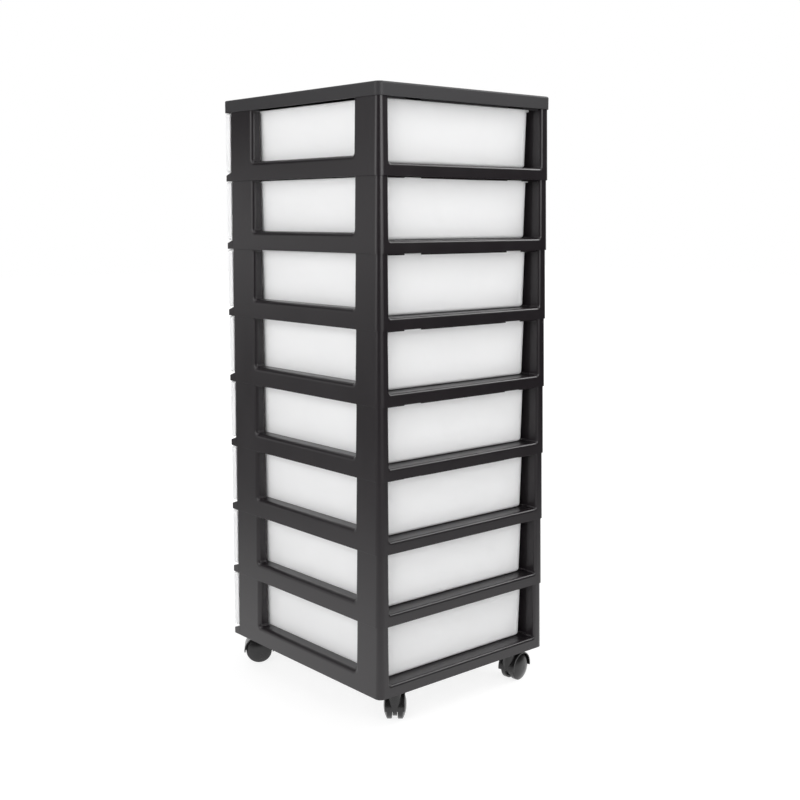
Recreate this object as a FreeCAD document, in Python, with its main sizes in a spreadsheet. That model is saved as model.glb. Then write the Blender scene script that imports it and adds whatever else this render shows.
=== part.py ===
# Drawer tower: eight stacked frame modules on four twin-wheel casters, with a
# sliding drawer in each module and a cover on top. Millimetres, +Z up. The origin
# is on the floor, under the middle of the tower. The drawers pull out along -Y.
import FreeCAD, Part
import math
import os
import Sketcher

Vector = FreeCAD.Vector

MODULES = 8
MATCH_SHARE = 0.0002
STRAIGHT_SHARE = 0.98
RIB_SHARES = (-0.25, 0, 0.25)

SIZES = {
    # Tower
    "tower_width": 322.0,
    "tower_depth": 357.7,
    "module_height": 100.0,
    "module_draft": 1.75,
    "caster_height": 50.0,
    "wall": 2.5,
    "overrun": 5.0,
    "joint_gap": 0.3,
    # Frame module: posts, rails and floor ring
    "back_corner_radius": 9.0,
    "front_corner_radius": 3.0,
    "post_thickness": 15.0,
    "back_post_width": 53.5,
    "front_post_width": 57.8,
    "post_web_height": 13.3,
    "post_corner_solid": 12.0,
    "rail_height": 16.7,
    "side_rail_height": 27.0,
    "side_rail_reach": 20.5,
    "floor_side_reach": 39.0,
    "floor_end_reach": 46.0,
    "floor_corner_radius": 12.0,
    "bay_corner_radius": 3.0,
    "window_corner_radius": 4.0,
    "window_rounding": 6.0,
    "window_top_hidden": 0.6,
    "flange_reach": 3.5,
    "flange_depth": 17.0,
    "back_rounding": 4.0,
    # Front lip under each drawer front
    "lip_reach": 12.7,
    "lip_face_height": 8.5,
    "lip_rise": 4.4,
    "lip_rounding": 1.5,
    "lip_corner_radius": 3.0,
    # Pegs and ribs that locate one module on the next
    "peg_length": 8.0,
    "peg_gap": 0.3,
    "rib_setback": 7.0,
    "rib_wall": 2.2,
    "rib_drop": 2.4,
    "rib_notch_width": 31.0,
    "rib_notch_offset": 95.8,
    "rib_end_gap": 0.8,
    # Cover
    "cover_height": 18.0,
    "cover_rounding": 2.5,
    "tray_margin": 13.0,
    "tray_depth": 1.5,
    "tray_corner_radius": 8.0,
    "tray_rounding": 1.2,
    "cover_rib_height": 8.0,
    "cover_rib_wall": 2.0,
    # Drawer
    "drawer_wall": 2.0,
    "drawer_floor": 2.2,
    "drawer_draft": 2.5,
    "drawer_corner_radius": 12.0,
    "drawer_floor_rounding": 5.0,
    "drawer_inside_rounding": 3.5,
    "drawer_back_gap": 21.5,
    "drawer_seat_gap": 0.3,
    "drawer_top_gap": 0.8,
    "drawer_side_gap": 2.0,
    "rim_reach": 2.5,
    "rim_height": 2.2,
    "panel_setback": 0.3,
    "panel_gap": 0.6,
    "panel_wall": 2.2,
    "panel_rounding": 2.5,
    "panel_corner_radius": 4.0,
    "pull_width": 112.0,
    "pull_reach": 14.0,
    "pull_end_reach": 5.0,
    "pull_corner_radius": 3.0,
    "pull_thickness": 4.5,
    "pull_drop": 26.0,
    "pull_rounding": 1.6,
    # Casters
    "caster_side_inset": 47.0,
    "caster_end_inset": 24.0,
    "caster_trail": 14.0,
    "wheel_diameter": 40.0,
    "wheel_spacing": 8.0,
    "wheel_tread": 7.5,
    "wheel_pair_width": 32.0,
    "wheel_edge": 1.0,
    "wheel_cap_diameter": 8.0,
    "wheel_dome_radius": 36.0,
    "wheel_cap_wall": 2.0,
    "wheel_rim_wall": 3.0,
    "wheel_hub_diameter": 11.0,
    "axle_diameter": 5.0,
    "axle_lead": 0.5,
    "running_gap": 0.06,
    "hood_gap": 1.2,
    "hood_wall": 1.8,
    "hood_inset": 2.0,
    "hood_lower_edge": 2.0,
    "hood_rounding": 0.7,
    "web_thickness": 6.0,
    "web_diameter": 32.0,
    "swivel_boss_diameter": 19.0,
    "stem_diameter": 8.0,
    "stem_collar_diameter": 14.0,
    "stem_collar_height": 1.7,
    "stem_seat_depth": 8.5,
    "stem_grip": 13.5,
    "stem_lead": 1.0,
    "socket_wall": 4.0,
    # Angle at which each caster has come to rest, in degrees from +X
    "back_right_turn": 228.0,
    "back_left_turn": 190.0,
    "front_right_turn": 325.0,
    "front_left_turn": 40.0,
}


class Size:
    """A length with its value and the sheet expression that gives it."""

    def __init__(self, value, text):
        self.value = value
        self.text = text

    def __add__(self, other):
        return combine(self, "+", other, self.value + value_of(other))

    def __radd__(self, other):
        return combine(other, "+", self, value_of(other) + self.value)

    def __sub__(self, other):
        return combine(self, "-", other, self.value - value_of(other))

    def __rsub__(self, other):
        return combine(other, "-", self, value_of(other) - self.value)

    def __mul__(self, other):
        return combine(self, "*", other, self.value * value_of(other))

    def __rmul__(self, other):
        return combine(other, "*", self, value_of(other) * self.value)

    def __truediv__(self, other):
        return combine(self, "/", other, self.value / value_of(other))

    def __neg__(self):
        return Size(-self.value, f"(-1 * {self.text})")


def value_of(item):
    return item.value if isinstance(item, Size) else item


def text_of(item):
    return item.text if isinstance(item, Size) else f"({item})"


def combine(left, sign, right, value):
    return Size(value, f"({text_of(left)} {sign} {text_of(right)})")


doc = FreeCAD.newDocument("DrawerTower")
sheet = doc.addObject("Spreadsheet::Sheet", "Sizes")
size = {}
for row, (name, number) in enumerate(SIZES.items(), start=1):
    sheet.set(f"A{row}", name)
    sheet.set(f"B{row}", str(number))
    sheet.setAlias(f"B{row}", name)
    size[name] = Size(number, f"Sizes.{name}")
doc.recompute()

# Places that several pieces share
half_width = size["tower_width"] / 2
back_face = (size["tower_depth"] + size["pull_reach"] - size["panel_setback"]) / 2
lip_face = back_face - size["tower_depth"]
front_face = lip_face + size["lip_reach"]
bay_half = half_width - size["post_thickness"]
back_half = bay_half - size["flange_reach"]
flange_face = back_face - size["flange_depth"]
window_front = front_face + size["front_post_width"]
window_back = back_face - size["back_post_width"]
floor_top = size["rail_height"]
wall = size["wall"]
overrun = size["overrun"]

sub_parts = []


def bind(target, prop, length):
    """Tie a property, or a named sketch constraint, to the sheet."""
    target.setExpression(prop, text_of(length))


def make_body(name):
    body = doc.addObject("PartDesign::Body", name)
    body.Label = name
    sub_parts.append(body)
    return body


def make_copy(name, original):
    """Another piece from the same mould."""
    body = make_body(name)
    body.BaseFeature = original
    return body


def place(body, x, y, z, turn=None):
    """Stand a body at a point, turned about Z."""
    degrees = 0 if turn is None else value_of(turn)
    rotation = FreeCAD.Rotation(Vector(0, 0, 1), degrees)
    body.Placement = FreeCAD.Placement(Vector(value_of(x), value_of(y), value_of(z)), rotation)
    for axis, length in zip("xyz", (x, y, z)):
        if isinstance(length, Size):
            bind(body, f".Placement.Base.{axis}", length)
    if isinstance(turn, Size):
        bind(body, ".Placement.Rotation.Angle", turn)


def make_sketch(body, name, plane, level=None):
    """An empty sketch on one of the body's own origin planes, or at a level over it."""
    sketch = body.newObject("Sketcher::SketchObject", name)
    origin_plane = next(f for f in body.Origin.OriginFeatures if f.Role == plane)
    sketch.AttachmentSupport = [(origin_plane, "")]
    sketch.MapMode = "FlatFace"
    if level is not None:
        bind(sketch, ".AttachmentOffset.Base.z", level)
    return sketch


def fix(sketch, kind, geometry, point, length):
    """Hold one point of the sketch at a distance from its origin."""
    if isinstance(length, Size):
        item = Sketcher.Constraint(kind, -1, 1, geometry, point, length.value)
        bind(sketch, f"Constraints[{sketch.addConstraint(item)}]", length)
    else:
        axis = -2 if kind == "DistanceX" else -1
        sketch.addConstraint(Sketcher.Constraint("PointOnObject", geometry, point, axis))


def fix_radius(sketch, geometry, length):
    item = Sketcher.Constraint("Radius", geometry, length.value)
    bind(sketch, f"Constraints[{sketch.addConstraint(item)}]", length)


def polygon(sketch, points, arcs=None):
    """A closed outline through points; arcs gives the radius of a side that is bowed.

    A positive radius bows to the right of the direction of travel.
    """
    arcs = arcs or {}
    count = len(points)
    first = sketch.GeometryCount
    ends = [Vector(value_of(u), value_of(v), 0) for u, v in points]
    for index in range(count):
        start, end = ends[index], ends[(index + 1) % count]
        if index not in arcs:
            sketch.addGeometry(Part.LineSegment(start, end), False)
            continue
        radius = abs(arcs[index].value)
        side = math.copysign(1, arcs[index].value)
        along = end - start
        half = along.Length / 2
        across = Vector(along.y, -along.x, 0).normalize()
        rise = radius - math.sqrt(radius ** 2 - half ** 2)
        crown = (start + end) * 0.5 + across * (side * rise)
        sketch.addGeometry(Part.Arc(start, crown, end), False)
    # An arc is stored anticlockwise, so one that bows right of the travel keeps its ends in order
    starts = {}
    stops = {}
    for index in range(count):
        turned = index in arcs and arcs[index].value < 0
        starts[index] = 2 if turned else 1
        stops[index] = 1 if turned else 2
    for index in range(count):
        after = (index + 1) % count
        sketch.addConstraint(Sketcher.Constraint(
            "Coincident", first + index, stops[index], first + after, starts[after]))
    for index, (u, v) in enumerate(points):
        fix(sketch, "DistanceX", first + index, starts[index], u)
        fix(sketch, "DistanceY", first + index, starts[index], v)
    for index, radius in arcs.items():
        fix_radius(sketch, first + index, radius if radius.value > 0 else -radius)


def rounded_rectangle(sketch, left, right, low, high, radii):
    """A rectangle with rounded corners; radii run from the low left corner anticlockwise."""
    first = sketch.GeometryCount
    corners = ((left, low, 1, 1), (right, low, -1, 1), (right, high, -1, -1), (left, high, 1, -1))
    centres = []
    for (u, v, du, dv), radius in zip(corners, radii):
        centres.append((u + radius * du, v + radius * dv, radius))
    for index, (u, v, radius) in enumerate(centres):
        start = math.pi * (1 + index / 2)
        circle = Part.Circle(Vector(u.value, v.value, 0), Vector(0, 0, 1), radius.value)
        sketch.addGeometry(Part.ArcOfCircle(circle, start, start + math.pi / 2), False)
    for index in range(4):
        start = sketch.Geometry[first + index].EndPoint
        end = sketch.Geometry[first + (index + 1) % 4].StartPoint
        sketch.addGeometry(Part.LineSegment(start, end), False)
    for index, (u, v, radius) in enumerate(centres):
        arc = first + index
        line = first + 4 + index
        following = first + (index + 1) % 4
        sketch.addConstraint(Sketcher.Constraint("Coincident", arc, 2, line, 1))
        sketch.addConstraint(Sketcher.Constraint("Coincident", line, 2, following, 1))
        level, upright = (1, 2) if index % 2 == 0 else (2, 1)
        sketch.addConstraint(Sketcher.Constraint("Horizontal", arc, 3, arc, level))
        sketch.addConstraint(Sketcher.Constraint("Vertical", arc, 3, arc, upright))
        fix(sketch, "DistanceX", arc, 3, u)
        fix(sketch, "DistanceY", arc, 3, v)
        fix_radius(sketch, arc, radius)


def rectangle(sketch, left, right, low, high):
    polygon(sketch, [(left, low), (right, low), (right, high), (left, high)])


def circle(sketch, u, v, radius):
    """A circle held at its centre."""
    centre = Vector(value_of(u), value_of(v), 0)
    index = sketch.addGeometry(Part.Circle(centre, Vector(0, 0, 1), radius.value), False)
    fix(sketch, "DistanceX", index, 3, u)
    fix(sketch, "DistanceY", index, 3, v)
    fix_radius(sketch, index, radius)


def pad(body, name, sketch, length, both_ways=False, taper=None):
    feature = body.newObject("PartDesign::Pad", name)
    feature.Profile = sketch
    feature.SideType = "Symmetric" if both_ways else "One side"
    bind(feature, "Length", length)
    if taper is not None:
        feature.setExpression("TaperAngle", taper)
    sketch.Visibility = False
    return feature


def pocket(body, name, sketch, length, both_ways=False, taper=None, upward=True):
    feature = body.newObject("PartDesign::Pocket", name)
    feature.Profile = sketch
    feature.SideType = "Symmetric" if both_ways else "One side"
    feature.Reversed = upward and not both_ways
    bind(feature, "Length", length)
    if taper is not None:
        feature.setExpression("TaperAngle", taper)
    sketch.Visibility = False
    return feature


def revolve(body, name, sketch, axis):
    feature = body.newObject("PartDesign::Revolution", name)
    feature.Profile = sketch
    feature.ReferenceAxis = (sketch, [axis])
    feature.Angle = 360
    sketch.Visibility = False
    return feature


def block(body, kind, name, x, y, z):
    """A box that adds to the body or cuts it, between two bounds on each axis."""
    feature = body.newObject(f"PartDesign::{kind}Box", name)
    for prop, axis, (low, high) in zip(("Length", "Width", "Height"), "xyz", (x, y, z)):
        bind(feature, prop, high - low)
        bind(feature, f".Placement.Base.{axis}", low)
    return feature


def round_edges(body, name, radius, chosen):
    """Round the edges of the body so far whose shape passes the test."""
    doc.recompute()
    base = body.Tip
    names = [f"Edge{n}" for n, edge in enumerate(base.Shape.Edges, start=1) if chosen(edge)]
    feature = body.newObject("PartDesign::Fillet", name)
    feature.Base = (base, names)
    bind(feature, "Radius", radius)
    return feature


def near(value, target):
    """Whether a place on an edge matches a size, to a small share of the tower's width."""
    return abs(value - value_of(target)) < MATCH_SHARE * size["tower_width"].value


def lies_at(edge, axis, target):
    """Whether both ends of an edge lie at one place on an axis."""
    return all(near(getattr(vertex.Point, axis), target) for vertex in edge.Vertexes)


def runs_along(edge, axis):
    """Whether an edge is nearly parallel to an axis."""
    ends = [getattr(vertex.Point, axis) for vertex in edge.Vertexes]
    return len(ends) == 2 and abs(ends[1] - ends[0]) > STRAIGHT_SHARE * edge.Length


SIDES = (-1, 1)
CORNERS = ((1, 1), (-1, 1), (1, -1), (-1, -1))


def span(sign, low, high):
    """Two bounds mirrored to the other side of the middle where the sign is negative."""
    return (low, high) if sign > 0 else (-high, -low)


# Frame module

module_taper = f"-atan({size['module_draft'].text} / {size['module_height'].text})"
caster_column = half_width - size["caster_side_inset"]
caster_line = {1: back_face - size["caster_end_inset"], -1: lip_face + size["caster_end_inset"]}
stem_radius = size["stem_diameter"] / 2
running_gap = size["running_gap"]
hollow_side = (bay_half + wall, half_width - size["module_draft"] - wall)
hollow_ends = {
    1: (window_back + wall, back_face - size["post_corner_solid"]),
    -1: (front_face + size["module_draft"] + wall, window_front - wall),
}


def add_pegs(body, root):
    """Pegs under the corners, which drop into the hollow posts below."""
    gap = size["peg_gap"]
    pegs = make_sketch(body, "PegOutlines", "XY_Plane", -size["peg_length"])
    for side, end in CORNERS:
        left, right = span(side, hollow_side[0] + gap, hollow_side[1] - gap)
        rectangle(pegs, left, right, hollow_ends[end][0] + gap, hollow_ends[end][1] - gap)
    pad(body, "Pegs", pegs, size["peg_length"] + root)


def add_ribs(body, root):
    """Ribs behind the back rail, with two finger-wide notches between them."""
    low, high = back_face - size["rib_setback"] - size["rib_wall"], back_face - size["rib_setback"]
    inner = size["rib_notch_offset"] - size["rib_notch_width"] / 2
    outer = size["rib_notch_offset"] + size["rib_notch_width"] / 2
    ribs = make_sketch(body, "RibOutlines", "XY_Plane", -size["rib_drop"])
    rectangle(ribs, -inner, inner, low, high)
    for side in SIDES:
        left, right = span(side, outer, back_half - size["rib_end_gap"])
        rectangle(ribs, left, right, low, high)
    pad(body, "Ribs", ribs, size["rib_drop"] + root)


def add_sockets(body):
    """Bosses under the corners of the lowest module, bored for the caster stems."""
    bosses = make_sketch(body, "BossOutlines", "XY_Plane")
    sockets = make_sketch(body, "SocketOutlines", "XY_Plane")
    for side, end in CORNERS:
        x = caster_column * side
        circle(bosses, x, caster_line[end], stem_radius + size["socket_wall"])
        circle(sockets, x, caster_line[end], stem_radius + running_gap)
    pad(body, "Bosses", bosses, floor_top - wall / 2)
    pocket(body, "Sockets", sockets, size["stem_grip"] + size["joint_gap"])


def lowest_frame(name):
    """The frame moulding that carries the casters."""
    body = frame_module(name)
    add_sockets(body)
    return body


def upper_frame(name):
    """A frame moulding that pegs on to the one below."""
    body = frame_module(name)
    root = floor_top - wall / 2
    add_pegs(body, root)
    add_ribs(body, root)
    return body


def frame_module(name):
    """Posts, rails, lip and floor ring, as they are in every frame moulding."""
    body = make_body(name)
    top = size["module_height"]
    back_radius = size["back_corner_radius"]
    front_radius = size["front_corner_radius"]

    # Outer block, drawn in a little towards its top
    outline = make_sketch(body, "Outline", "XY_Plane")
    rounded_rectangle(outline, -half_width, half_width, front_face, back_face,
                      (front_radius, front_radius, back_radius, back_radius))
    pad(body, "Block", outline, top, taper=module_taper)

    # Lip that stands out under the drawer front, sloped on top
    profile = make_sketch(body, "LipProfile", "YZ_Plane")
    root = front_face + wall
    crest = size["lip_face_height"] + size["lip_rise"]
    polygon(profile, [(lip_face, 0), (root, 0), (root, crest), (front_face, crest),
                      (lip_face, size["lip_face_height"])])
    pad(body, "Lip", profile, size["tower_width"], both_ways=True)
    round_edges(body, "LipEnds", size["lip_corner_radius"],
                lambda edge: runs_along(edge, "z") and lies_at(edge, "y", lip_face))
    round_edges(body, "LipEdge", size["lip_rounding"],
                lambda edge: runs_along(edge, "x") and lies_at(edge, "y", lip_face)
                and lies_at(edge, "z", size["lip_face_height"]))

    # Bay for the drawer, open to the front, with a narrower opening between the back
    # posts, whose flanges stop the drawer
    block(body, "Subtractive", "Bay", (-bay_half, bay_half),
          (-back_face - overrun, flange_face), (floor_top, top + overrun))
    block(body, "Subtractive", "BackOpening", (-back_half, back_half),
          (flange_face - overrun, back_face + overrun), (floor_top, top + overrun))
    round_edges(body, "BayCorners", size["bay_corner_radius"],
                lambda edge: runs_along(edge, "y") and lies_at(edge, "z", floor_top)
                and (near(abs(edge.CenterOfMass.x), bay_half) and edge.Length > back_face.value
                     or near(abs(edge.CenterOfMass.x), back_half)))
    round_edges(body, "BackEdges", size["back_rounding"],
                lambda edge: edge.CenterOfMass.y > (back_face - size["module_draft"]).value
                and abs(edge.CenterOfMass.x) < bay_half.value
                and edge.CenterOfMass.z > floor_top.value - wall.value)

    # Windows through both sides, between the posts
    window = make_sketch(body, "WindowOutline", "YZ_Plane")
    corner = size["window_corner_radius"]
    rounded_rectangle(window, window_front, window_back, size["side_rail_height"],
                      top + size["window_top_hidden"], (corner, corner, corner, corner))
    pocket(body, "Windows", window, size["tower_width"] + overrun, both_ways=True)
    round_edges(body, "WindowEdges", size["window_rounding"],
                lambda edge: abs(edge.CenterOfMass.x) > (half_width - size["module_draft"] - wall).value
                and (window_front - wall).value < edge.CenterOfMass.y < (window_back + wall).value
                and edge.CenterOfMass.z > (size["side_rail_height"] - wall).value
                and not lies_at(edge, "z", top))

    # Ledges behind the side rails, level with the rail tops
    ledges = make_sketch(body, "LedgeOutlines", "XY_Plane", floor_top - wall)
    for side in SIDES:
        left, right = span(side, half_width - size["side_rail_reach"], bay_half + wall)
        rectangle(ledges, left, right, window_front, window_back)
    pad(body, "Ledges", ledges, size["side_rail_height"] - floor_top + wall)

    # Opening in the floor ring, under the middle of the drawer
    opening = make_sketch(body, "FloorOpening", "XY_Plane")
    radius = size["floor_corner_radius"]
    inner_x = half_width - size["floor_side_reach"]
    inner_front = front_face + size["floor_end_reach"]
    inner_back = back_face - size["floor_end_reach"]
    rounded_rectangle(opening, -inner_x, inner_x, inner_front, inner_back, (radius,) * 4)
    pocket(body, "FloorCut", opening, floor_top + overrun)

    # Hollow underside: a channel all round, deeper under the side rails
    channel = make_sketch(body, "ChannelOutline", "XY_Plane")
    rounded_rectangle(channel, -half_width + wall, half_width - wall, front_face + wall,
                      back_face - wall, (wall, wall, back_radius - wall, back_radius - wall))
    rounded_rectangle(channel, -inner_x - wall, inner_x + wall, inner_front - wall,
                      inner_back + wall, (radius + wall,) * 4)
    pocket(body, "Channel", channel, floor_top - wall)
    rail_channels = make_sketch(body, "RailChannelOutlines", "XY_Plane")
    for side in SIDES:
        left, right = span(side, half_width - size["side_rail_reach"] + wall, half_width - wall * 2)
        rectangle(rail_channels, left, right, window_front, window_back)
    pocket(body, "RailChannels", rail_channels, size["side_rail_height"] - wall)
    block(body, "Subtractive", "LipChannel",
          (-half_width + size["lip_corner_radius"] + wall, half_width - size["lip_corner_radius"] - wall),
          (lip_face + wall, front_face), (-overrun, size["lip_face_height"] - wall))

    # Hollow posts, open at the top for the pegs of the piece above
    hollow_low = floor_top + size["post_web_height"]
    hollows = make_sketch(body, "PostHollowOutlines", "XY_Plane", hollow_low)
    for side, end in CORNERS:
        rectangle(hollows, *span(side, *hollow_side), *hollow_ends[end])
    pocket(body, "PostHollows", hollows, top - hollow_low + overrun)

    return body


# Top cover


def top_cover(name):
    body = make_body(name)
    height = size["cover_height"]
    back_radius = size["back_corner_radius"]
    lip_radius = size["lip_corner_radius"]
    outline = make_sketch(body, "CoverOutline", "XY_Plane")
    rounded_rectangle(outline, -half_width, half_width, lip_face, back_face,
                      (lip_radius, lip_radius, back_radius, back_radius))
    pad(body, "CoverBlock", outline, height)
    round_edges(body, "CoverEdge", size["cover_rounding"], lambda edge: lies_at(edge, "z", height))

    # Shallow tray in the top
    margin = size["tray_margin"]
    tray = make_sketch(body, "TrayOutline", "XY_Plane", height)
    rounded_rectangle(tray, -half_width + margin, half_width - margin, lip_face + margin,
                      back_face - margin, (size["tray_corner_radius"],) * 4)
    pocket(body, "Tray", tray, size["tray_depth"], upward=False)
    round_edges(body, "TrayEdge", size["tray_rounding"],
                lambda edge: lies_at(edge, "z", height)
                and abs(edge.CenterOfMass.x) < half_width.value - margin.value / 2
                and abs(edge.CenterOfMass.y) < back_face.value - margin.value / 2)

    # Hollow underside with stiffening ribs
    roof = height - size["tray_depth"] - wall
    hollow = make_sketch(body, "CoverHollowOutline", "XY_Plane")
    rounded_rectangle(hollow, -half_width + wall, half_width - wall, lip_face + wall,
                      back_face - wall, (wall, wall, back_radius - wall, back_radius - wall))
    pocket(body, "CoverHollow", hollow, roof)
    rib_low = roof - size["cover_rib_height"]
    thin = size["cover_rib_wall"] / 2
    long_ribs = make_sketch(body, "LongRibOutlines", "XY_Plane", rib_low)
    for place_share in RIB_SHARES:
        x = size["tower_width"] * place_share
        rectangle(long_ribs, x - thin, x + thin, lip_face + wall / 2, back_face - wall / 2)
    pad(body, "LongRibs", long_ribs, roof + wall / 2 - rib_low)
    cross_ribs = make_sketch(body, "CrossRibOutlines", "XY_Plane", rib_low)
    for place_share in RIB_SHARES:
        y = (lip_face + back_face) / 2 + size["tower_depth"] * place_share
        rectangle(cross_ribs, -half_width + wall / 2, half_width - wall / 2, y - thin, y + thin)
    pad(body, "CrossRibs", cross_ribs, roof + wall / 2 - rib_low)

    add_pegs(body, roof + wall / 2)
    add_ribs(body, roof + wall / 2)
    return body


# Drawer

drawer_top = size["module_height"] - size["drawer_top_gap"]
drawer_bottom = floor_top + size["drawer_seat_gap"]
tub_top_half = bay_half - size["drawer_side_gap"] - size["rim_reach"]
tub_back = back_face - size["drawer_back_gap"]
panel_front = lip_face + size["panel_setback"]
panel_back = front_face - size["panel_gap"]
panel_half = half_width - size["panel_gap"]
panel_bottom = size["lip_face_height"] + size["lip_rise"] + size["panel_gap"]


def drawer(name):
    body = make_body(name)
    draft = size["drawer_draft"]
    corner = size["drawer_corner_radius"]
    slope = f"atan({draft.text} / {(drawer_top - drawer_bottom).text})"

    # Tub that widens towards its top
    tub_front = panel_front + size["panel_wall"] + draft
    outline = make_sketch(body, "TubOutline", "XY_Plane", drawer_bottom)
    rounded_rectangle(outline, -tub_top_half + draft, tub_top_half - draft, tub_front,
                      tub_back - draft, (corner,) * 4)
    pad(body, "Tub", outline, drawer_top - drawer_bottom, taper=slope)
    round_edges(body, "TubFloorEdge", size["drawer_floor_rounding"],
                lambda edge: lies_at(edge, "z", drawer_bottom))

    # Rim round the top, which guides the drawer between the posts
    rim = make_sketch(body, "RimOutline", "XY_Plane", drawer_top - size["rim_height"])
    reach = size["rim_reach"]
    rounded_rectangle(rim, -tub_top_half - reach, tub_top_half + reach, tub_front - draft,
                      tub_back + reach, (corner + reach,) * 4)
    pad(body, "Rim", rim, size["rim_height"])

    # Front panel that covers the frame's posts
    block(body, "Additive", "Panel", (-panel_half, panel_half), (panel_front, panel_back),
          (panel_bottom, drawer_top))
    round_edges(body, "PanelCorners", size["panel_corner_radius"],
                lambda edge: runs_along(edge, "y") and near(abs(edge.CenterOfMass.x), panel_half))
    round_edges(body, "PanelEdge", size["panel_rounding"],
                lambda edge: lies_at(edge, "y", panel_front))

    # Inside of the tub
    inside_low = drawer_bottom + size["drawer_floor"]
    inside = make_sketch(body, "InsideOutline", "XY_Plane", inside_low)
    lead = size["drawer_wall"]
    inside_corner = corner - lead
    rounded_rectangle(inside, -tub_top_half + draft + lead, tub_top_half - draft - lead, tub_front,
                      tub_back - draft - lead, (inside_corner,) * 4)
    pocket(body, "Inside", inside, drawer_top - inside_low + overrun, taper=slope)
    round_edges(body, "InsideFloorEdge", size["drawer_inside_rounding"],
                lambda edge: lies_at(edge, "z", inside_low))

    # Hollow ends of the panel, open to the back
    rim_half = tub_top_half + reach
    skin = size["panel_wall"]
    for side in SIDES:
        block(body, "Subtractive", "PanelHollow",
              span(side, rim_half + skin / 2, panel_half - skin),
              (panel_front + skin, panel_back + overrun),
              (panel_bottom + skin, drawer_top - skin))

    # Pull lip with a bowed front edge
    pull = make_sketch(body, "PullOutline", "XY_Plane", drawer_top - size["pull_drop"])
    half_pull = size["pull_width"] / 2
    pull_end = panel_front - size["pull_end_reach"]
    root = panel_front + skin / 2
    rise = size["pull_reach"] - size["pull_end_reach"]
    bow = (half_pull * half_pull + rise * rise) / (rise * 2)
    polygon(pull, [(-half_pull, root), (-half_pull, pull_end), (half_pull, pull_end),
                   (half_pull, root)], {1: bow})
    pad(body, "Pull", pull, size["pull_thickness"])
    round_edges(body, "PullCorners", size["pull_corner_radius"],
                lambda edge: runs_along(edge, "z") and lies_at(edge, "y", pull_end)
                and near(abs(edge.CenterOfMass.x), half_pull))
    round_edges(body, "PullEdge", size["pull_rounding"],
                lambda edge: edge.CenterOfMass.y < (panel_front - size["pull_rounding"]).value
                and not runs_along(edge, "z"))
    return body


# Casters

wheel_radius = size["wheel_diameter"] / 2
axle_radius = size["axle_diameter"] / 2
web_side = size["web_thickness"] / 2
wheel_inner = size["wheel_spacing"] / 2
wheel_outer = size["wheel_pair_width"] / 2
bore_end = wheel_outer - size["wheel_cap_wall"]
boss_top = size["caster_height"] - size["stem_collar_height"] - size["joint_gap"]
stem_low = boss_top - size["stem_seat_depth"]
trail = size["caster_trail"]


def caster_stem(name):
    """Steel stem: a journal for the swivel, a collar, and the end gripped by the socket."""
    body = make_body(name)
    profile = make_sketch(body, "StemProfile", "XZ_Plane")
    collar = size["stem_collar_diameter"] / 2
    seat = size["caster_height"]
    lead = size["stem_lead"]
    tip = seat + size["stem_grip"]
    polygon(profile, [
        (0, stem_low), (stem_radius - lead, stem_low), (stem_radius, stem_low + lead),
        (stem_radius, boss_top + size["joint_gap"]), (collar, boss_top + size["joint_gap"]),
        (collar, seat), (stem_radius, seat), (stem_radius, tip - lead),
        (stem_radius - lead, tip), (0, tip),
    ])
    revolve(body, "Stem", profile, "V_Axis")
    return body


def caster_housing(name):
    """Hood over both wheels, the web between them and the swivel boss, moulded in one."""
    body = make_body(name)
    hood_radius = wheel_radius + size["hood_gap"] + size["hood_wall"]
    hood_half = wheel_outer - size["hood_inset"]
    boss_radius = size["swivel_boss_diameter"] / 2

    hood = make_sketch(body, "HoodOutline", "XZ_Plane")
    circle(hood, trail, wheel_radius, hood_radius)
    pad(body, "Hood", hood, hood_half * 2, both_ways=True)
    block(body, "Subtractive", "HoodCut",
          (trail - hood_radius - overrun, trail + hood_radius + overrun),
          (-hood_half - overrun, hood_half + overrun),
          (-overrun, wheel_radius - size["hood_lower_edge"]))
    round_edges(body, "HoodEdge", size["hood_rounding"],
                lambda edge: near(abs(edge.CenterOfMass.y), hood_half)
                and edge.CenterOfMass.z > wheel_radius.value)
    boss = make_sketch(body, "BossOutline", "XY_Plane", wheel_radius)
    circle(boss, 0, 0, boss_radius)
    pad(body, "SwivelBoss", boss, boss_top - wheel_radius)
    round_edges(body, "BossEdge", size["hood_rounding"], lambda edge: lies_at(edge, "z", boss_top))

    # A well for each wheel, either side of the web
    for side in SIDES:
        well = make_sketch(body, "WellOutline", "XZ_Plane", web_side * side)
        circle(well, trail, wheel_radius, wheel_radius + size["hood_gap"])
        pocket(body, "Well", well, hood_half, upward=side > 0)
    web = make_sketch(body, "WebOutline", "XZ_Plane")
    circle(web, trail, wheel_radius, size["web_diameter"] / 2)
    pad(body, "Web", web, size["web_thickness"], both_ways=True)

    # Bores for the stem and the axle
    stem_bore = make_sketch(body, "StemBoreOutline", "XY_Plane", stem_low - size["joint_gap"])
    circle(stem_bore, 0, 0, stem_radius + running_gap)
    pocket(body, "StemBore", stem_bore, size["caster_height"] - stem_low)
    axle_bore = make_sketch(body, "AxleBoreOutline", "XZ_Plane")
    circle(axle_bore, trail, wheel_radius, axle_radius + running_gap)
    pocket(body, "AxleBore", axle_bore, size["wheel_pair_width"], both_ways=True)
    return body


def caster_axle(name):
    """Steel pin through the web, which both wheels turn on."""
    body = make_body(name)
    profile = make_sketch(body, "AxleProfile", "YZ_Plane")
    end = bore_end - size["joint_gap"]
    lead = size["axle_lead"]
    polygon(profile, [(-end, 0), (end, 0), (end, axle_radius - lead), (end - lead, axle_radius),
                      (lead - end, axle_radius), (-end, axle_radius - lead)])
    revolve(body, "Axle", profile, "H_Axis")
    return body


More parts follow.
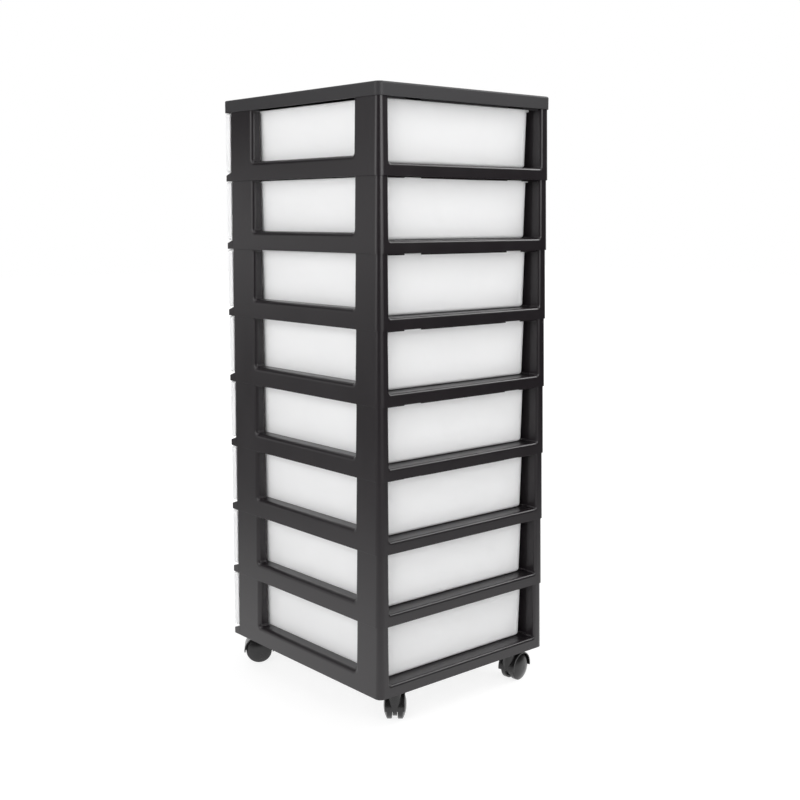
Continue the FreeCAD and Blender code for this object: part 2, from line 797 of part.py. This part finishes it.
def caster_wheel(name):
    """One moulded wheel: tread, domed cap, and a hub bored for the axle from inside."""
    body = make_body(name)
    profile = make_sketch(body, "WheelProfile", "YZ_Plane")
    bore = axle_radius + running_gap
    hub = size["wheel_hub_diameter"] / 2
    edge = size["wheel_edge"]
    tread_outer = wheel_inner + size["wheel_tread"]
    rim_inside = wheel_radius - size["wheel_rim_wall"]
    recess_end = tread_outer - size["wheel_cap_wall"]
    polygon(profile, [
        (wheel_outer, 0), (wheel_outer, size["wheel_cap_diameter"] / 2),
        (tread_outer, wheel_radius - edge), (tread_outer - edge, wheel_radius),
        (wheel_inner + edge, wheel_radius), (wheel_inner, wheel_radius - edge),
        (wheel_inner, rim_inside), (recess_end, rim_inside), (recess_end, hub),
        (wheel_inner, hub), (wheel_inner, bore), (bore_end, bore), (bore_end, 0),
    ], {1: size["wheel_dome_radius"]})
    revolve(body, "Wheel", profile, "H_Axis")
    return body


def trailing_point(side, end, turn):
    """Where a caster's axle stands, given the angle that it has swung to."""
    cosine = Size(math.cos(math.radians(turn.value)), f"cos({turn.text} * 1 deg)")
    sine = Size(math.sin(math.radians(turn.value)), f"sin({turn.text} * 1 deg)")
    return caster_column * side + trail * cosine, caster_line[end] + trail * sine


# The pieces of the tower, from the floor up

caster_places = {
    "back_right": (1, 1, size["back_right_turn"]),
    "back_left": (-1, 1, size["back_left_turn"]),
    "front_right": (1, -1, size["front_right_turn"]),
    "front_left": (-1, -1, size["front_left_turn"]),
}
moulds = {}


def piece(name, maker):
    """The first piece of a kind is drawn, and the others are copies of it."""
    if maker in moulds:
        return make_copy(name, moulds[maker])
    moulds[maker] = maker(name)
    return moulds[maker]


for corner, (side, end, turn) in caster_places.items():
    column, line = caster_column * side, caster_line[end]
    axle_x, axle_y = trailing_point(side, end, turn)
    stem = piece(f"caster_{corner}_stem", caster_stem)
    place(stem, column, line, 0)
    housing = piece(f"caster_{corner}_housing", caster_housing)
    place(housing, column, line, 0, turn)
    axle = piece(f"caster_{corner}_axle", caster_axle)
    place(axle, axle_x, axle_y, wheel_radius, turn)
    for number, facing in ((1, turn), (2, turn + 180)):
        wheel = piece(f"caster_{corner}_wheel_{number}", caster_wheel)
        place(wheel, axle_x, axle_y, wheel_radius, facing)

for number in range(1, MODULES + 1):
    level = size["caster_height"] + size["module_height"] * (number - 1)
    maker = lowest_frame if number == 1 else upper_frame
    place(piece(f"frame_module_{number}", maker), 0, 0, level)
    place(piece(f"drawer_{number}", drawer), 0, 0, level)

place(top_cover("top_cover"), 0, 0, size["caster_height"] + size["module_height"] * MODULES)

doc.recompute()
for item in doc.Objects:
    if "Invalid" in item.State or "Error" in item.State:
        raise RuntimeError(f"{item.Name} did not rebuild: {item.State}")
os.makedirs("parts", exist_ok=True)
for body in sub_parts:
    if body.Shape.isNull() or not body.Shape.isValid():
        raise RuntimeError(f"{body.Label} is not a valid solid")
    body.Shape.exportStep(f"parts/{body.Label}.step")
    print(body.Label, len(body.Shape.Solids), len(body.Shape.Faces), round(body.Shape.Volume))
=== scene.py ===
# Drawer tower on casters: black stacking frames, frosted drawers and a flat cover.
# Metres, +Z up. The drawers pull out along -Y, and the open back faces +Y.
import math
import bpy
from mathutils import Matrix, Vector

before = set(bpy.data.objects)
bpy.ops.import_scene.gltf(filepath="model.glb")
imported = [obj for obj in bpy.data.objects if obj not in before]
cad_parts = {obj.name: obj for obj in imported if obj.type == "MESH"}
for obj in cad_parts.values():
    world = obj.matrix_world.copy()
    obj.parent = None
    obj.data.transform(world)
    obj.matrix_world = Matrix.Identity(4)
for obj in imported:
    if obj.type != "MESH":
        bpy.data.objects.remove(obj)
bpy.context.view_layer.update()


# Frame modules. Each is one injection moulding of black polypropylene with hollow
# posts, an open back and a window in each side, and its pegs drop into the posts of
# the module below. The mould leaves a fine even grain and faint flow marks.
frame_black = (0.0098, 0.0078, 0.0092)
frame_worn = (0.0188, 0.016, 0.0182)
frame_roughness = 0.3
grain_size = 0.0007
grain_depth = 0.000004
flow_size = 0.045
flow_stretch = 0.35
flow_tint = 0.35
flow_haze = 0.12
scuff_size = 0.004
scuff_stretch = 0.15
scuff_onset = (0.6, 0.78)
scuff_tint = 0.25
scuff_haze = 0.08
edge_radius = 0.0005
plastic_ior = 1.49


class Value:
    """One output of a shader node. A sum written on it adds a Math node."""

    def __init__(self, finish, socket):
        self.finish = finish
        self.socket = socket

    def maths(self, operation, first, second):
        return self.finish.node("ShaderNodeMath", {"operation": operation}, {0: first, 1: second})

    def __add__(self, other):
        return self.maths("ADD", self, other)

    def __mul__(self, other):
        return self.maths("MULTIPLY", self, other)

    __radd__ = __add__
    __rmul__ = __mul__


class Finish:
    """A material built from nodes around one shader."""

    def __init__(self, name):
        self.material = bpy.data.materials.new(name)
        self.material.use_nodes = True
        self.tree = self.material.node_tree
        self.shader = self.tree.nodes["Principled BSDF"]
        self.place = self.node("ShaderNodeTexCoord", {}, {}, "Object")

    def node(self, kind, settings, inputs, output=0):
        """Adds a node: its settings first, then the values or links of its sockets."""
        node = self.tree.nodes.new(kind)
        for name, setting in settings.items():
            setattr(node, name, setting)
        for name, content in inputs.items():
            self.fill(node.inputs[name], content)
        return Value(self, node.outputs[output])

    def fill(self, socket, content):
        if isinstance(content, Value):
            self.tree.links.new(content.socket, socket)
        else:
            socket.default_value = content

    def surface(self, **inputs):
        """Sets sockets of the shader, named with underscores for spaces."""
        for name, content in inputs.items():
            self.fill(self.shader.inputs[name.replace("_", " ")], content)

    def noise(self, feature, detail=2.0, roughness=0.5, place=None):
        """Even noise from 0 to 1, with features of about the given size in metres."""
        return self.node("ShaderNodeTexNoise", {}, {
            "Vector": place or self.place, "Scale": 1 / feature, "Detail": detail,
            "Roughness": roughness})

    def stretched(self, x, y, z):
        """Object coordinates scaled along each axis, for marks that run one way."""
        return self.node("ShaderNodeMapping", {}, {"Vector": self.place, "Scale": (x, y, z)})

    def between(self, value, low, high):
        """Values from low to high spread over 0 to 1."""
        return self.node("ShaderNodeMapRange", {}, {"Value": value, "From Min": low, "From Max": high})

    def blend(self, factor, first, second):
        """A colour part of the way from the first to the second."""
        return self.node("ShaderNodeMix", {"data_type": "RGBA"}, {
            "Factor": factor, 6: (*first, 1), 7: (*second, 1)}, 2)

    def relief(self, height, depth, edge):
        """Bump of a depth in metres over edges softened to a radius."""
        softened = self.node("ShaderNodeBevel", {"samples": 4}, {"Radius": edge})
        return self.node("ShaderNodeBump", {}, {
            "Height": height, "Distance": depth, "Normal": softened})


def dress(nodes, finish):
    """Gives CAD nodes a finish in place of the plain one they are packed with."""
    for name in nodes:
        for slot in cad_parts[name].material_slots:
            slot.material = finish.material


def moulded_black(name, black, worn, roughness):
    """Black plastic as it comes from a grained mould."""
    finish = Finish(name)
    grain = finish.noise(grain_size)
    flow = finish.noise(flow_size, detail=3.0, place=finish.stretched(1, 1, flow_stretch))
    scuffs = finish.noise(scuff_size, detail=4.0, roughness=0.7, place=finish.stretched(1, scuff_stretch, 1))
    scuffs = finish.between(scuffs, *scuff_onset)
    finish.surface(
        Base_Color=finish.blend(flow * flow_tint + scuffs * scuff_tint, black, worn),
        Roughness=roughness - flow_haze / 2 + flow * flow_haze + scuffs * scuff_haze,
        Normal=finish.relief(grain, grain_depth, edge_radius),
        IOR=plastic_ior)
    return finish


modules = sorted(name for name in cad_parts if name.startswith("frame_module"))
frame_plastic = moulded_black("black_polypropylene", frame_black, frame_worn, frame_roughness)
dress(modules, frame_plastic)


# Top cover. A shallow lid moulded in the same black plastic, pegged on to the top
# module, with a sunken tray in its top.
cover_black = (0.019, 0.018, 0.0195)
cover_worn = (0.034, 0.033, 0.035)
cover_roughness = 0.52
cover_plastic = moulded_black("cover_polypropylene", cover_black, cover_worn, cover_roughness)
dress(["top_cover"], cover_plastic)


# Drawers. Each is one thin moulding of frosted natural polypropylene with a full
# front panel. Light spreads inside the milky wall, so it looks white and soft.
drawer_white = (0.84, 0.842, 0.85)
drawer_cloud = (0.875, 0.877, 0.88)
drawer_roughness = 0.42
cloud_size = 0.08
cloud_haze = 0.1
frosting_size = 0.0006
drawer_edge = 0.0004
milky_depth = 0.004

drawer_plastic = Finish("frosted_polypropylene")
frosting = drawer_plastic.noise(frosting_size)
cloud = drawer_plastic.noise(cloud_size)
drawer_plastic.surface(
    Base_Color=drawer_plastic.blend(cloud, drawer_white, drawer_cloud),
    Roughness=drawer_roughness + cloud * cloud_haze,
    Normal=drawer_plastic.relief(frosting, grain_depth, drawer_edge),
    Subsurface_Weight=1.0,
    Subsurface_Radius=(1, 1, 1),
    Subsurface_Scale=milky_depth,
    IOR=plastic_ior)
dress([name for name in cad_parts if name.startswith("drawer")], drawer_plastic)


# Casters. Twin nylon wheels under a hood, on a zinc-plated axle, turning on a
# zinc-plated stem that is pushed into the lowest module.
nylon_black = (0.007, 0.0066, 0.0069)
nylon_worn = (0.015, 0.0145, 0.0148)
nylon_roughness = 0.28
zinc_dark = (0.52, 0.53, 0.55)
zinc_light = (0.66, 0.67, 0.69)
zinc_roughness = 0.25
brushing_size = 0.0012
brushing_stretch = 0.1
brushing_haze = 0.15
nylon = moulded_black("black_nylon", nylon_black, nylon_worn, nylon_roughness)
dress([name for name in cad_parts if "wheel" in name or "housing" in name], nylon)

zinc = Finish("zinc_plated_steel")
brushing = zinc.noise(
    brushing_size, detail=3.0, roughness=0.6, place=zinc.stretched(1, 1, brushing_stretch))
zinc.surface(
    Base_Color=zinc.blend(brushing, zinc_dark, zinc_light),
    Roughness=zinc_roughness + brushing * brushing_haze,
    Metallic=1.0)
dress([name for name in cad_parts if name.endswith(("stem", "axle"))], zinc)


# Studio. A white floor that keeps the tower's soft shadow, an even white surround,
# tall soft lamps round the tower, a fill lamp that no reflection shows, and black
# cards that only reflections show.
camera_place = Vector((1.1336, 1.3547, 0.6956))
camera_heading = -2.2826
camera_tilt = 0.1327
camera_lens = 53.18
camera_shift = -0.03

bpy.ops.object.select_all(action="DESELECT")
heading = Vector((math.cos(camera_heading) * math.cos(camera_tilt),
                  math.sin(camera_heading) * math.cos(camera_tilt), -math.sin(camera_tilt)))
bpy.ops.object.camera_add(location=camera_place, rotation=heading.to_track_quat("-Z", "Y").to_euler())
camera = bpy.context.object
camera.name = "camera"
camera.data.lens = camera_lens
camera.data.shift_y = camera_shift
bpy.context.scene.camera = camera


def around(bearing, distance, height):
    """A point on a circle round the tower, and the turn that faces its middle line."""
    angle = math.radians(bearing)
    point = Vector((math.cos(angle) * distance, math.sin(angle) * distance, height))
    return point, Vector((-math.cos(angle), -math.sin(angle), 0)).to_track_quat("-Z", "Y").to_euler()


def soft_lamp(name, bearing, distance, width, low, high, brightness):
    """A tall soft box at a bearing in degrees, with its face as bright as given."""
    place, turn = around(bearing, distance, (low + high) / 2)
    bpy.ops.object.light_add(type="AREA", location=place, rotation=turn)
    lamp = bpy.context.object
    lamp.name = name
    lamp.visible_camera = False
    lamp.data.shape = "RECTANGLE"
    lamp.data.size = width
    lamp.data.size_y = high - low
    lamp.data.energy = brightness * math.pi * width * (high - low)
    return lamp


soft_lamp("side_lamp", -14, 2.3, 0.9, 0.5, 2.2, 1.9)
soft_lamp("back_lamp", 84, 2.2, 1.3, 0.72, 1.92, 3.6)
soft_lamp("corner_lamp", 152, 2.4, 1.3, 1.6, 2.9, 7.0)
soft_lamp("front_lamp", -112, 2.6, 2.2, 0.3, 2.0, 1.3)
fill_lamp = soft_lamp("fill_lamp", 27, 2.5, 1.6, 0.3, 2.1, 3.7)
fill_lamp.visible_glossy = False

cloth_black = (0.004, 0.004, 0.004, 1)
black_cloth = Finish("black_cloth")
black_cloth.surface(Base_Color=cloth_black, Roughness=1.0, Specular_IOR_Level=0.0)


def black_card(name, bearing, distance, width, low, high):
    """A dark card that shows only in reflections, as a studio sets beside glossy black."""
    place, turn = around(bearing, distance, (low + high) / 2)
    bpy.ops.mesh.primitive_plane_add(size=1, location=place, rotation=turn)
    card = bpy.context.object
    card.name = name
    card.scale = (width, high - low, 1)
    card.visible_camera = card.visible_diffuse = card.visible_shadow = False
    card.visible_transmission = card.visible_volume_scatter = False
    card.data.materials.append(black_cloth.material)


black_card("card_behind_camera", 34, 2.1, 2.1, 0.0, 2.4)
black_card("card_beside_camera", 142, 2.0, 2.4, 0.0, 1.5)
black_card("card_beyond_side_lamp", -64, 2.4, 1.6, 0.9, 2.4)

floor_half = 12.0
floor_white = 0.92
floor_seen = 0.3
floor_roughness = 0.9
floor_lift = (0.8, 1.0)
floor_reach = (0.35, 1.4)
# Reach and glow of the painted pool of light on the floor, which only reflections see.
painted_pool_reach = (0.3, 1.6)
painted_pool_glow = (1.08, 0.06)
bpy.ops.mesh.primitive_plane_add(size=floor_half * 2)
floor = bpy.context.object
floor.name = "studio_floor"

# The camera sees the floor as white. Reflections see a painted pool of light round the tower: a glow only
# reflections see, bright by the tower and fading away from it.
floor_paint = Finish("studio_floor_paint")
camera_sees = floor_paint.node("ShaderNodeLightPath", {}, {}, "Is Camera Ray")
gloss_sees = floor_paint.node("ShaderNodeLightPath", {}, {}, "Is Glossy Ray")
distance = floor_paint.node("ShaderNodeVectorMath", {"operation": "LENGTH"}, {0: floor_paint.place}, "Value")
lift = floor_paint.node("ShaderNodeMapRange", {"interpolation_type": "SMOOTHSTEP"}, {
    "Value": distance, "From Min": floor_reach[0], "From Max": floor_reach[1],
    "To Min": floor_lift[0], "To Max": floor_lift[1]})
painted_pool = floor_paint.node("ShaderNodeMapRange", {}, {
    "Value": distance, "From Min": painted_pool_reach[0], "From Max": painted_pool_reach[1],
    "To Min": painted_pool_glow[0], "To Max": painted_pool_glow[1]})
floor_paint.surface(
    Base_Color=floor_paint.blend(camera_sees + gloss_sees, (floor_white,) * 3, (floor_seen,) * 3),
    Emission_Color=floor_paint.blend(camera_sees * lift + gloss_sees * painted_pool, (0, 0, 0), (1, 1, 1)),
    Emission_Strength=1.0,
    Roughness=floor_roughness,
    Specular_IOR_Level=0.0)
floor.data.materials.append(floor_paint.material)

surround_light = 0.45
world = bpy.data.worlds.new("studio")
bpy.context.scene.world = world
world.use_nodes = True

# The surround is white where it is seen, and gives the tower less light than that.
nodes, links = world.node_tree.nodes, world.node_tree.links
background = nodes["Background"]
background.inputs["Color"].default_value = (1, 1, 1, 1)
path = nodes.new("ShaderNodeLightPath")
seen = nodes.new("ShaderNodeMath")
seen.operation = "MAXIMUM"
links.new(path.outputs["Is Camera Ray"], seen.inputs[0])
links.new(path.outputs["Is Glossy Ray"], seen.inputs[1])
clear = nodes.new("ShaderNodeMath")
clear.operation = "MAXIMUM"
links.new(seen.outputs[0], clear.inputs[0])
links.new(path.outputs["Is Transmission Ray"], clear.inputs[1])
strength = nodes.new("ShaderNodeMapRange")
strength.inputs["To Min"].default_value = surround_light
links.new(clear.outputs[0], strength.inputs["Value"])
links.new(strength.outputs["Result"], background.inputs["Strength"])

bpy.context.scene.view_settings.view_transform = "Standard"
